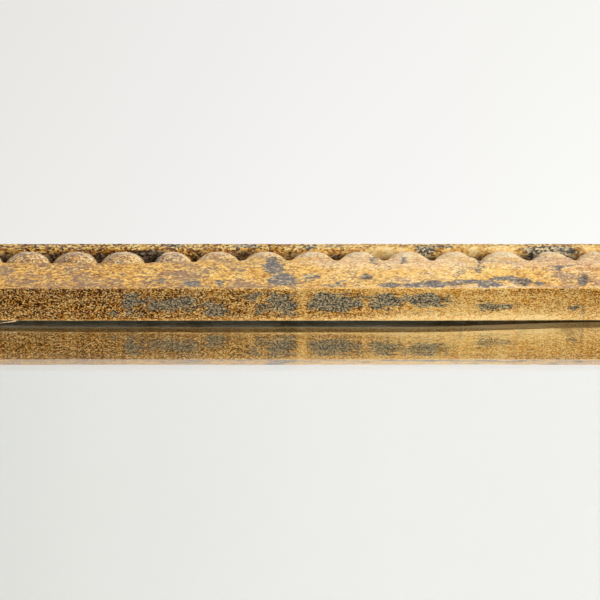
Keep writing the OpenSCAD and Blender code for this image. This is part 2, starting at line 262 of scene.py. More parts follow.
    # Where leaf still shows it is metallic and smoother, and bare places lie a little lower
    covered = add(t, "Math", (1.0, bare_kept), operation="SUBTRACT")
    shown = add(t, "Math", (rubbed, -0.7, covered), operation="MULTIPLY_ADD", use_clamp=True)
    sheen = add(t, "Math", (shown, metal), operation="MULTIPLY")
    polish = add(t, "MapRange", (shown, 0.0, 1.0, dull, gloss))
    height = add(t, "Math", (bare, -0.5, mingled), operation="MULTIPLY_ADD")
    bump = add(t, "Bump", {"Height": height, "Strength": 1.0, "Distance": relief * MM})
    shader = add(t, "BsdfPrincipled", {
        "Base Color": colour, "Metallic": sheen, "Roughness": polish, "Normal": bump,
        "Specular IOR Level": waxy, "Coat Weight": coat, "Coat Roughness": 0.25})
    add(t, "OutputMaterial", {"Surface": shader})
    return made


# Burnished water gilding on the sloping band: close, satin, with long streaks from the agate and
# slate-grey ground where it has been knocked off
burnished_gold = gilding(
    "burnished_water_gilding",
    leaf=[(0.05, "#875c30"), (0.30, "#c69250"), (0.50, "#e8b766"), (0.72, "#f9d27e"),
          (0.95, "#ffe9b0")],
    slate=[(0.10, "#575350"), (0.50, "#7f7873"), (0.90, "#a5998d")],
    gesso=[(0.10, "#b6907a"), (0.50, "#e3c0a0"), (0.90, "#fcead6")],
    streak=(5.0, 0.8), grit=(0.9, 0.42), share=0.5, contrast=1.9, lift=0.20, metal=0.10, gloss=0.6,
    dull=0.8, relief=0.14, pores=0.8, flecks=0.7, torn=(2.2, 0.6), veils=0.8, waxy=0.05)

# Matt oil gilding on the upright inner face: ochre bole glows through, the gesso's coarse grain
# catches light, and it is worn to slate in bands
matt_gold = gilding(
    "matt_oil_gilding",
    leaf=[(0.0, "#30190d"), (0.26, "#824b19"), (0.50, "#bf7926"), (0.72, "#ecaa46"),
          (1.0, "#ffdf94")],
    slate=[(0.05, "#3a3731"), (0.50, "#686357"), (0.95, "#9c917a")],
    gesso=[(0.10, "#cc8836"), (0.50, "#f6bd66"), (0.90, "#ffe6a8")],
    streak=(4.0, 0.6), grit=(0.50, 0.36), share=0.68, contrast=4.9, lift=0.40, metal=0.65,
    gloss=0.42, dull=0.82, relief=0.25, pores=0.4, flecks=0.32, torn=(4.2, 0.7), bare_at=1.60,
    veils=0.15, soften=0.45, waxy=0.0)

# Gilding over stippled gesso on the outer fillet: rough and bright, with deep pits
stippled_gold = gilding(
    "stippled_water_gilding",
    leaf=[(0.0, "#33200c"), (0.28, "#936020"), (0.50, "#d3963a"), (0.72, "#f2bd56"),
          (1.0, "#ffe696")],
    slate=[(0.10, "#474543"), (0.50, "#7d7873"), (0.90, "#bfb4a0")],
    gesso=[(0.10, "#d9a058"), (0.50, "#fbcc7a"), (0.90, "#ffe6aa")],
    streak=(3.0, 1.1), grit=(1.0, 0.8), share=0.7, contrast=3.8, lift=0.16, metal=0.4, gloss=0.42,
    dull=0.8, relief=0.3, pores=0.5, flecks=0.6, veils=0.3)

# Water gilding on turned beads: gold on the flanks, rubbed to a mauve-grey and chalky crown
bead_gold = gilding(
    "rubbed_bead_gilding",
    leaf=[(0.0, "#64411f"), (0.28, "#b57f40"), (0.50, "#e6b063"), (0.72, "#fad58c"),
          (1.0, "#fff0c6")],
    slate=[(0.10, "#56524f"), (0.50, "#857c76"), (0.90, "#b3a594")],
    gesso=[(0.10, "#c4a080"), (0.50, "#f2d09c"), (0.90, "#feebc2")],
    streak=(2.2, 1.1), grit=(0.75, 0.6), share=0.6, contrast=3.0, lift=0.34, metal=0.3, gloss=0.42,
    dull=0.75, relief=0.14, pores=0.5, flecks=0.6, veils=0.5, soften=0.4, coat=0.4)


# ---- Wood, iron and glass ----
# Their patterns are placed in the object's own space, in metres

# How far a board's figure is from the next one's, and how much finer the fibres are than the rings
BOARD_LEAP, FIBRE_FINER = 3.7, 7.0
# A point this near the frame's outer sides, in millimetres, lies on them
ON_OUTSIDE = 0.4
# The outer sides' wash ends some 6 to 9 mm from the wall: how far stains move its edge, and at
# which Y, so moved, it is gone and is full
WASH_RAGGED, WASH_GONE, WASH_FULL = 0.02, 0.004, 0.001
# Along the top rail, where the lightened grey-green under the lip starts to turn ochre, and where
# it has
OCHRE_UNDER_LIP_FROM, OCHRE_UNDER_LIP_FULL = 0.02, 0.10


def past_sides(tree, axes, half_w, half_h):
    """How far a point lies past a half width or a half height, whichever is more."""
    wide = add(tree, "Math", (axes.outputs["X"],), operation="ABSOLUTE")
    high = add(tree, "Math", (axes.outputs["Z"],), operation="ABSOLUTE")
    past_w = add(tree, "Math", (wide, half_w), operation="SUBTRACT")
    past_h = add(tree, "Math", (high, half_h), operation="SUBTRACT")
    return add(tree, "Math", (past_w, past_h), operation="MAXIMUM")


def old_wood(name, tones, ring, length, across, boards=0.0, wash=None):
    """Old softwood or oak. tones: its colours, from dark to light. ring, length: width and length
    of its figure, in metres. across: the axis that the growth rings follow each other along, 0 or
    2. boards: width of one board, so that each has a figure of its own. wash: colours of an ochre
    wash on the frame's outer sides and in front."""
    made, t = new_material(name)
    place = add(t, "TexCoord").outputs["Object"]
    axes = add(t, "SeparateXYZ", (place,))
    if boards:
        which = add(t, "Math", (axes.outputs["X"], boards), operation="DIVIDE")
        whole = add(t, "Math", (which,), operation="FLOOR")
        leap = add(t, "Math", (whole, BOARD_LEAP), operation="MULTIPLY")
        moved = add(t, "CombineXYZ", (leap, leap, leap))
        place = add(t, "VectorMath", (place, moved), operation="ADD").outputs[0]
    run = (1 / length, 1 / ring, 1 / ring) if across == 2 else (1 / ring, 1 / ring, 1 / length)
    stretched = add(t, "Mapping", {"Vector": place, "Scale": run})
    rings = add(t, "TexNoise", {
        "Vector": stretched, "Scale": 1.0, "Detail": 3.0, "Roughness": 0.5, "Distortion": 0.6})
    fine = add(t, "Mapping", {"Vector": place, "Scale": [FIBRE_FINER * r for r in run]})
    fibre = add(t, "TexNoise", {"Vector": fine, "Scale": 1.0, "Detail": 5.0, "Roughness": 0.7})
    stain = add(t, "TexNoise", {"Vector": place, "Scale": 9.0, "Detail": 3.0, "Roughness": 0.6})
    waves = add(t, "Math", (rings, 26.0), operation="MULTIPLY")
    bands = add(t, "Math", (waves,), operation="SINE")
    banded = add(t, "Math", (bands, 0.07, fibre), operation="MULTIPLY_ADD")
    aged = add(t, "Math", (stain, 0.5, banded), operation="MULTIPLY_ADD")
    centred = add(t, "Math", (aged, 0.25), operation="SUBTRACT")
    colour = add(t, "ValToRGB", (centred,), stops=tones)
    if wash:
        # The wash covers the outer sides and the room side, and stops raggedly near the wall
        past = past_sides(t, axes, (FRAME_W / 2 - ON_OUTSIDE) * MM, (FRAME_H / 2 - ON_OUTSIDE) * MM)
        outer = add(t, "Math", (past, 0.0), operation="GREATER_THAN")
        ragged = add(t, "Math", (stain, WASH_RAGGED, axes.outputs["Y"]), operation="MULTIPLY_ADD")
        front = add(t, "MapRange", (ragged, WASH_GONE, WASH_FULL, 0.0, 1.0))
        outside = add(t, "Math", (outer, front), operation="MULTIPLY")
        room = add(t, "Math", (axes.outputs["Y"], -(BACK_DEPTH + LIP_GAP / 2) * MM),
                   operation="LESS_THAN")
        covered = add(t, "Math", (outside, room), operation="MAXIMUM")
        thin = add(t, "MapRange", (aged, 0.62, 0.9, 0.94, 0.35))
        painted = add(t, "Math", (covered, thin), operation="MULTIPLY")
        ochre = add(t, "ValToRGB", (stain,), stops=wash)
        washed = add(t, "Mix", {0: painted, 6: colour, 7: ochre}, data_type="RGBA")
        # Under the lip the wood is painted a light grey-green, and ochre past it on the right: only
        # the plate shows it. The light colour is painted light, standing in for what reaches it
        # through the glass
        under = add(t, "Math", (axes.outputs["Y"], -(BACK_DEPTH + LIP_GAP) * MM, 0.2 * MM),
                    operation="COMPARE")
        rubbed = add(t, "MapRange", (axes.outputs["X"], OCHRE_UNDER_LIP_FROM, OCHRE_UNDER_LIP_FULL))
        lit_under_lip = add(t, "Mix", {0: rubbed, 6: linear("#dde0d0"), 7: linear("#d9a868")},
                      data_type="RGBA")
        colour = add(t, "Mix", {0: under, 6: washed, 7: lit_under_lip}, data_type="RGBA")
    bump = add(t, "Bump", {"Height": banded, "Strength": 0.8, "Distance": 0.25 * MM})
    shader = add(t, "BsdfPrincipled", {
        "Base Color": colour, "Roughness": 0.78, "Normal": bump, "Specular IOR Level": 0.3})
    add(t, "OutputMaterial", {"Surface": shader})
    return made


PINE_TONES = [(0.25, "#5c4229"), (0.42, "#7d5c3a"), (0.55, "#906c45"), (0.72, "#a8835a")]
OAK_TONES = [(0.25, "#38281a"), (0.42, "#553f2a"), (0.55, "#675034"), (0.72, "#7f6744")]

# Sawn and planed pine boards, gone brown in the dark of the back, with flat-sawn figure
board_pine = old_wood("planed_aged_pine", PINE_TONES, 0.030, 0.55, 0, boards=0.1685)
# Planed oak battens and blocks: close grain, darker than the pine
batten_oak = old_wood("planed_aged_oak", OAK_TONES, 0.016, 0.30, 2)
# The rails' own pine: bare at the back, and under a thin ochre wash at the sides and in front
WASH_TONES = [(0.30, "#6b4b20"), (0.45, "#9a7031"), (0.58, "#b98c45"), (0.72, "#caa35e")]
rail_pine_across = old_wood("ochre_washed_pine_rail", PINE_TONES, 0.022, 0.5, 2, wash=WASH_TONES)
rail_pine_upright = old_wood("ochre_washed_pine_stile", PINE_TONES, 0.022, 0.5, 0, wash=WASH_TONES)


def old_iron():
    """Forged iron left bare in a damp back: brown rust with orange bloom, and dark where rubbed."""
    made, t = new_material("rusted_forged_iron")
    place = add(t, "TexCoord").outputs["Object"]
    bloom = add(t, "TexNoise", {"Vector": place, "Scale": 260.0, "Detail": 5.0, "Roughness": 0.65})
    pits = add(t, "TexNoise", {"Vector": place, "Scale": 1400.0, "Detail": 2.0, "Roughness": 0.6})
    both = add(t, "Mix", {0: 0.35, 2: bloom, 3: pits}, data_type="FLOAT")
    colour = add(t, "ValToRGB", (both,), stops=[
        (0.36, "#231d1a"), (0.48, "#3c2c23"), (0.57, "#5f3f2a"), (0.68, "#8a5432")])
    bare = add(t, "MapRange", (both, 0.42, 0.56, 0.75, 0.05))
    polish = add(t, "MapRange", (both, 0.42, 0.60, 0.5, 0.88))
    bump = add(t, "Bump", {"Height": both, "Strength": 0.9, "Distance": 0.12 * MM})
    shader = add(t, "BsdfPrincipled", {
        "Base Color": colour, "Metallic": bare, "Roughness": polish, "Normal": bump})
    add(t, "OutputMaterial", {"Surface": shader})
    return made


def plate_glass():
    """Polished soda glass, with the faint green of its iron. A film of old polish on both faces
    makes it mirror a little more than clean glass, so that edges show a second, fainter time."""
    made, t = new_material("polished_soda_glass")
    place = add(t, "TexCoord").outputs["Object"]
    slow = add(t, "TexNoise", {"Vector": place, "Scale": 7.0, "Detail": 1.0, "Roughness": 0.4})
    bump = add(t, "Bump", {"Height": slow, "Strength": 0.05, "Distance": 0.02 * MM})
    tint = add(t, "ValToRGB", (slow,), stops=[(0.35, "#fbfdfb"), (0.65, "#fcfefd")])
    shader = add(t, "BsdfPrincipled", {
        "Base Color": tint, "Roughness": 0.0, "IOR": 1.52, "Transmission Weight": 1.0,
        "Normal": bump})
    film = add(t, "BsdfGlossy", {"Color": linear("#fbfcfb"), "Roughness": 0.0})
    filmed = add(t, "MixShader", (0.11, shader, film))
    add(t, "OutputMaterial", {"Surface": filmed})
    return made


# Lines just outside the plate's edges, in metres, from which the damp's reach is measured
DAMP_SIDE, DAMP_END = 0.330, 0.750


def tin_silvering():
    """The bright coat behind the glass. Damp has crept in from the edges and left a grey bloom."""
    made, t = new_material("tin_mercury_silvering")
    place = add(t, "TexCoord").outputs["Object"]
    axes = add(t, "SeparateXYZ", (place,))
    near = past_sides(t, axes, DAMP_SIDE, DAMP_END)
    mottle = add(t, "TexNoise", {"Vector": place, "Scale": 45.0, "Detail": 5.0, "Roughness": 0.7})
    reach = add(t, "Math", (mottle, 0.12, near), operation="MULTIPLY_ADD")
    bloom = add(t, "MapRange", (reach, 0.050, 0.068, 0.0, 0.6))
    colour = add(t, "Mix", {0: bloom, 6: linear("#fcfcfb"), 7: linear("#77756c")}, data_type="RGBA")
    haze = add(t, "Math", (bloom, 0.35), operation="MULTIPLY")
    shader = add(t, "BsdfPrincipled", {"Base Color": colour, "Metallic": 1.0, "Roughness": haze})
    add(t, "OutputMaterial", {"Surface": shader})
    return made


def backing_paint():
    """Dull red-brown lead paint brushed over the back of the tin. The boards' gaps show it."""
    made, t = new_material("brushed_lead_paint")
    place = add(t, "TexCoord").outputs["Object"]
    brushed = add(t, "Mapping", {"Vector": place, "Scale": (400.0, 400.0, 12.0)})
    strokes = add(t, "TexNoise", {"Vector": brushed, "Scale": 1.0, "Detail": 3.0})
    colour = add(t, "ValToRGB", (strokes,), stops=[(0.3, "#3d2b23"), (0.7, "#5a4336")])
    shader = add(t, "BsdfPrincipled", {"Base Color": colour, "Roughness": 0.85})
    add(t, "OutputMaterial", {"Surface": shader})
    return made


# ---- Wear, and painted highlights ----
# Places on the photographed stretch, in millimetres: (along, up the section, half length, half
# height, how far gone). "Up the section" runs from the lip over the inner face and the slope.

# How far up the section the arris between face and slope is
ARRIS_UP = 14.1
SLATE_ON_SLOPE = [
    (-16.9, 24.5, 4.8, 1.6, 1.0), (-12.9, 18.0, 6.7, 3.1, 1.0), (-16.3, 22.2, 5.0, 2.0, 0.8),
    (-0.5, 19.4, 4.4, 2.2, 0.7), (8.1, 15.7, 7.1, 1.0, 0.9), (8.9, 22.7, 2.9, 0.9, 0.45),
    (22.0, 19.5, 1.7, 0.8, 1.0), (25.1, 25.6, 2.7, 0.9, 0.6), (31.8, 15.7, 5.3, 1.2, 1.0),
    (-38.5, 16.7, 2.1, 1.3, 0.8), (-33.1, 16.6, 0.8, 0.6, 0.8), (-28.0, 21.1, 3.4, 0.4, 0.5),
    (-89.2, 20.0, 2.3, 1.1, 0.6), (-78.9, 20.9, 1.7, 0.9, 0.6), (-64.2, 17.7, 5.5, 1.7, 0.6),
    (-63.1, 16.7, 1.9, 0.9, 0.9), (-50.3, 16.5, 4.2, 1.6, 0.9), (12.7, 17.3, 1.7, 0.4, 0.8),
    (40.0, 15.5, 7.0, 1.1, 1.0), (51.8, 16.2, 11.5, 1.5, 1.0), (66.4, 17.2, 10.0, 1.2, 1.0),
    (73.0, 16.2, 6.0, 1.4, 1.0), (79.7, 18.7, 7.0, 1.2, 1.0), (87.1, 17.2, 4.6, 1.8, 1.0),
    (94.2, 16.5, 3.4, 1.1, 0.8), (111.7, 17.8, 2.3, 2.4, 1.0), (102.6, 23.9, 9.7, 0.6, 0.7),
    (102.0, 22.9, 1.9, 1.3, 0.9), (104.7, 19.8, 1.7, 0.9, 0.5), (45.5, 21.8, 1.7, 2.9, 0.45),
    (69.2, 23.6, 1.9, 4.2, 0.55), (38.4, 25.8, 1.7, 0.4, 0.6), (28.5, 18.8, 1.1, 0.6, 0.7),
    (82.3, 21.8, 1.5, 0.7, 0.6), (118.6, 22.7, 2.1, 0.7, 0.5),
]
# Small holes through the gesso, dark inside
HOLES_ON_SLOPE = [
    (22.2, 19.2, 2.8, 1.2, 1.0), (87.0, 17.4, 2.9, 1.9, 0.9), (112.2, 17.8, 2.2, 2.6, 0.8),
]
SLATE_ON_FACE = [
    (-75.5, 7.8, 5.0, 5.4, 0.85), (-59.1, 6.9, 11.8, 3.6, 0.7), (-86.2, 2.9, 5.7, 1.8, 0.75),
    (-74.2, 12.1, 3.8, 1.1, 0.8), (-21.9, 11.7, 5.7, 1.5, 0.9), (-40.6, 4.0, 6.7, 2.9, 0.85),
    (-22.1, 4.9, 2.9, 4.3, 0.6), (-12.1, 6.7, 6.3, 5.6, 0.75), (8.7, 7.4, 11.1, 4.5, 0.85),
    (30.4, 8.7, 6.7, 3.1, 0.85), (47.6, 9.3, 10.9, 2.6, 0.9), (77.9, 5.9, 9.7, 2.3, 0.85),
    (92.1, 10.6, 4.2, 1.5, 0.6), (108.7, 5.9, 1.5, 1.7, 1.0), (-27.6, 10.1, 6.3, 0.9, 0.6),
    (-117.7, 13.0, 5.3, 1.1, 0.5),
]
# On the fillet, "up" is the distance out from its inner edge
SLATE_ON_FILLET = [
    (-28.0, 2.5, 6.7, 2.0, 1.0), (-0.7, 2.1, 2.9, 2.4, 1.0), (10.2, 2.2, 4.2, 1.7, 0.7),
    (-59.7, 2.9, 4.4, 1.6, 0.8), (47.6, 0.0, 5.5, 3.8, 0.9), (101.2, -1.2, 13.0, 4.8, 1.0),
    (38.8, 3.4, 2.9, 1.1, 0.6), (54.0, 2.0, 7.0, 1.6, 0.8), (24.0, 3.0, 4.0, 1.2, 0.6),
]
# Raised flakes of leaf on the fillet, painted bright and clean as the highlight they would catch:
# their last number is how bright
LIT_FLAKES_ON_FILLET = [
    (29.5, -2.9, 5.0, 6.0, 1.0), (68.0, -0.8, 2.3, 3.8, 0.9), (80.4, -0.8, 6.3, 3.8, 1.0),
    (117.4, 0.9, 3.4, 3.0, 0.9), (37.7, -0.3, 3.2, 1.7, 0.6),
]
# A place fades from a core to its end, in shares of its half sizes
SPOT_CORE, SPOT_END = 0.35, 1.5


def bead_row(side):
    """Pitch of a side's beads and how many steps its row has, mitre to mitre."""
    row = SIDES[side].length - 2 * (FACE_W - BEAD_OUT)
    steps = math.floor(row / (2 * BEAD_R + BEAD_GAP))
    return row / steps, steps


def places(spots, along, up):
    """How far gone the leaf is at a point, from the listed places with ragged edges; for the
    fillet's lit flakes, how strong their painted highlight is.
    """
    near = [spot for spot in spots if abs(along - spot[0]) < SPOT_END * spot[2] + 2.0
            and abs(up - spot[1]) < SPOT_END * spot[3] + 1.2]
    if not near:
        return 0.0
    along += 1.3 * rough(along, up, 3.0, 3.0, 1) + 0.7 * rough(along, up, 1.3, 1.3, 2)
    up += 0.7 * rough(along, up, 3.5, 2.5, 3) + 0.4 * rough(along, up, 1.3, 1.0, 4)
    gone = 0.0
    for spot_along, spot_up, half_length, half_height, depth in near:
        apart = math.hypot((along - spot_along) / half_length, (up - spot_up) / half_height)
        gone = max(gone, depth * smooth(SPOT_END, SPOT_CORE, apart))
    return gone


def seen(side, along):
    """1 on the photographed stretch, 0 away from it."""
    return smooth(SEEN_HALF + SEEN_FADE, SEEN_HALF, abs(along)) if side == "top" else 0.0


def chance(side, along, up, size_along, size_up, level, seed):
    """Random wear for the stretches that aren't photographed: higher levels leave less of it."""
    shifted = along + SIDES[side].start
    field = rough(shifted, up, size_along, size_up, seed, 3)
    fine = rough(shifted, up, size_along / 4, size_up / 3, seed + 1, 2)
    return min(max(0.5 + 1.7 * (field + 0.45 * fine - level), 0.0), 1.0)


def cleanness_and_light(side, along):
    """How clean and light the gold is: on the photographed stretch it grows from left to right,
    and falls again a little at the far right. Its lightness there is partly painted light from the
    right."""
    shifted = along + SIDES[side].start
    usual = 0.5 + 0.6 * rough(shifted, 0.0, 130.0, 1.0, 40)
    pictured = mixed(0.10, 1.0, smooth(-110.0, 60.0, along)) - 0.25 * smooth(80.0, 120.0, along)
    return min(max(mixed(usual, pictured, seen(side, along)), 0.0), 1.0)


# ---- Mesh tools ----

def section_way(corners):
    """Corner to corner, the edges of a closed section with how far along it each one starts."""
    way, start = [], 0.0
    for a, b in zip(corners, corners[1:] + corners[:1]):
        reach = math.dist(a, b)
        way.append((a, b, start, reach))
        start += reach
    return way


def section_place(way, out, fore):
    """The nearest edge of a section, and how far along the section the point is."""
    best = None
    for number, (a, b, start, reach) in enumerate(way):
        run = ((b[0] - a[0]) / reach, (b[1] - a[1]) / reach)
        share = min(max((out - a[0]) * run[0] + (fore - a[1]) * run[1], 0.0), reach)
        gap = math.hypot(out - a[0] - run[0] * share, fore - a[1] - run[1] * share)
        if best is None or gap < best[0] - 1e-6:
            best = (gap, number, start + share)
    return best[1:]


# How far a side runs past its mitres before they are cut
OVERRUN = 2.0
# Nearer than this to a mitre, displacement fades out, so that the mitre stays closed
MITRE_EASE = 9.0


def run_section(side, corners, pieces, step):
    """A closed section spun straight along its side, cut at both mitres and closed there. pieces:
    how many parts each edge of the section is cut into."""
    length = SIDES[side].length
    bm = bmesh.new()
    ring = []
    for (a, b), count in zip(zip(corners, corners[1:] + corners[:1]), pieces):
        for part in range(count):
            share = part / count
            ring.append(bm.verts.new(at(mixed(a[0], b[0], share), mixed(a[1], b[1], share))))
    for pair in zip(ring, ring[1:] + ring[:1]):
        bm.edges.new(pair)
    reach = length / 2 + OVERRUN
    steps = round(2 * reach / step)
    bmesh.ops.translate(bm, verts=bm.verts[:], vec=(-reach, 0, 0))
    bmesh.ops.spin(bm, geom=bm.verts[:] + bm.edges[:], cent=(0, 0, 0), axis=(1, 0, 0),
                   dvec=(2 * reach / steps, 0, 0), angle=0.0, steps=steps, use_merge=False)
    for end in (-1, 1):
        bmesh.ops.bisect_plane(
            bm, geom=bm.verts[:] + bm.edges[:] + bm.faces[:], dist=1e-4,
            plane_co=(end * (length / 2 - FACE_W), 0, 0), plane_no=(end, 0, -1), clear_outer=True)
    bmesh.ops.edgeloop_fill(bm, edges=[e for e in bm.edges if e.is_boundary])
    bmesh.ops.recalc_face_normals(bm, faces=bm.faces[:])
    return bm


def wear_layers(bm):
    """The layers that the gilding reads: the grain, and the four marks of wear, dirt and painted
    light and shade.
    """
    grain = bm.verts.layers.float_vector.new("grain")
    return [grain] + [bm.verts.layers.float.new(mark) for mark in WEAR]


def dress(bm, side, corners, finishes, shape):
    """Gives each face its finish, and each point its wear, its painted light and shade, and its
    small displacement.
    """
    way = section_way(corners)
    grain_at, worn_at, dirt_and_shade_at, pale_and_lit_at, clean_and_lit_at = wear_layers(bm)
    half = SIDES[side].length / 2 - FACE_W
    known = {}
    for face in bm.faces:
        middle = face.calc_center_median()
        key = (round(middle.z, 2), round(-middle.y - BACK_DEPTH, 2))
        if key not in known:
            known[key] = section_place(way, *key)[0]
        face.material_index = finishes[known[key]]
    known = {}
    for vert in bm.verts:
        along, out, fore = vert.co.x, vert.co.z, -vert.co.y - BACK_DEPTH
        key = (round(out, 3), round(fore, 3))
        if key not in known:
            known[key] = section_place(way, out, fore)
        edge, up = known[key]
        held = smooth(0.0, MITRE_EASE, half + out - abs(along))
        move, worn, dirt_and_shade, pale, cleaner_and_lighter = shape(side, along, edge, up, out, fore)
        out, fore = out + held * move[0], fore + held * move[1]
        vert.co = at(out, fore, along)
        vert[grain_at] = (along + SIDES[side].start, out, fore)
        vert[worn_at], vert[dirt_and_shade_at], vert[pale_and_lit_at] = worn, dirt_and_shade, pale
        vert[clean_and_lit_at] = cleanness_and_light(side, along) + cleaner_and_lighter


def finish_piece(bm, name, side, materials, crease=40.0):
    """Turns a side's mesh to its place in metres, and makes it a gilded piece of the frame."""
    place = (Matrix.Rotation(math.radians(SIDES[side].turn), 4, "Y")
             @ Matrix.Translation((0, 0, (SIDES[side].across / 2 - FACE_W) * MM))
             @ Matrix.Scale(MM, 4))
    bmesh.ops.transform(bm, matrix=place, verts=bm.verts[:])
    mesh = mesh_of(bm, name)
    for material in materials:
        mesh.materials.append(material)
    mesh.shade_smooth()
    mesh.set_sharp_from_angle(angle=math.radians(crease))
    piece = set_down(name, mesh)
    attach(piece, "frame")
    return piece


# ---- Sight moulding ----
# Its arris and crest are eased by a few tenths of a millimetre, as rubbing leaves them

SIGHT_CORNERS = [
    (0.0, LIP_GAP), (ARRIS_SET - 0.08, ARRIS_RISE - 0.6), (ARRIS_SET + 0.12, ARRIS_RISE - 0.02),
    (ARRIS_SET + 0.55, ARRIS_RISE + 0.42), (SIGHT_W - 0.4, CREST_RISE - 0.36),
    (SIGHT_W, CREST_RISE - 0.4), (SIGHT_W, LIP_RISE), (LIP_SET, LIP_RISE), (LIP_SET, LIP_GAP),
]
# Into how many parts each edge of the section is cut
SIGHT_PIECES = [14, 1, 1, 11, 5, 2, 1, 2, 7]
# Which of the piece's two finishes each edge of the section has: 0 burnished, 1 matt
SIGHT_FINISHES = [1, 1, 0, 0, 0, 1, 1, 1, 1]
# On the right of the photographed stretch the foot leans under the frame and nears the glass: where
# that starts, where it is full, and from where to where it ends again. It leans less at the left.
LEAN_FROM, LEAN_TO, LEAN_UNTIL, LEAN_END = 40.0, 118.0, 190.0, 250.0
LEAN_OUT, LEAN_BACK = 2.2, 1.0
LEFT_LEAN = 0.3
# On the inner face, a stripe where the leaf is whole, and a dirty crack: where their middles are,
# their half widths, and how far up the crack goes
STRIPE_AT, STRIPE_HALF = -4.1, 1.6
CRACK_AT, CRACK_HALF, CRACK_UP = 112.7, 0.5, 7.5
# Gesso has filled the groove between the crest and the beads: how far it reaches out, and how much
# higher it lies there
WEB_OUT, WEB_RISE = 4.4, 0.6


def web_reach(side, along):
    """How far the gesso fills the groove in front of the beads, from 0 to 1."""
    shifted = along + SIDES[side].start
    usual = min(max(0.3 + 0.9 * rough(shifted, 0.0, 70.0, 1.0, 41), 0.0), 1.0)
    pictured = mixed(0.05, 1.0, smooth(-75.0, -25.0, along))
    ragged = 0.14 * rough(shifted, 0.0, 5.0, 1.0, 42, 2)
    place = along / bead_row(side)[0]
    gap_middle = 1 - abs(place - math.floor(place) - 0.5) * 2
    filled = max(mixed(usual, pictured, seen(side, along)) + ragged, 0.0)
    # It dips where a gap between two beads opens behind it
    return filled * (1 - 0.55 * smooth(0.62, 0.95, gap_middle))


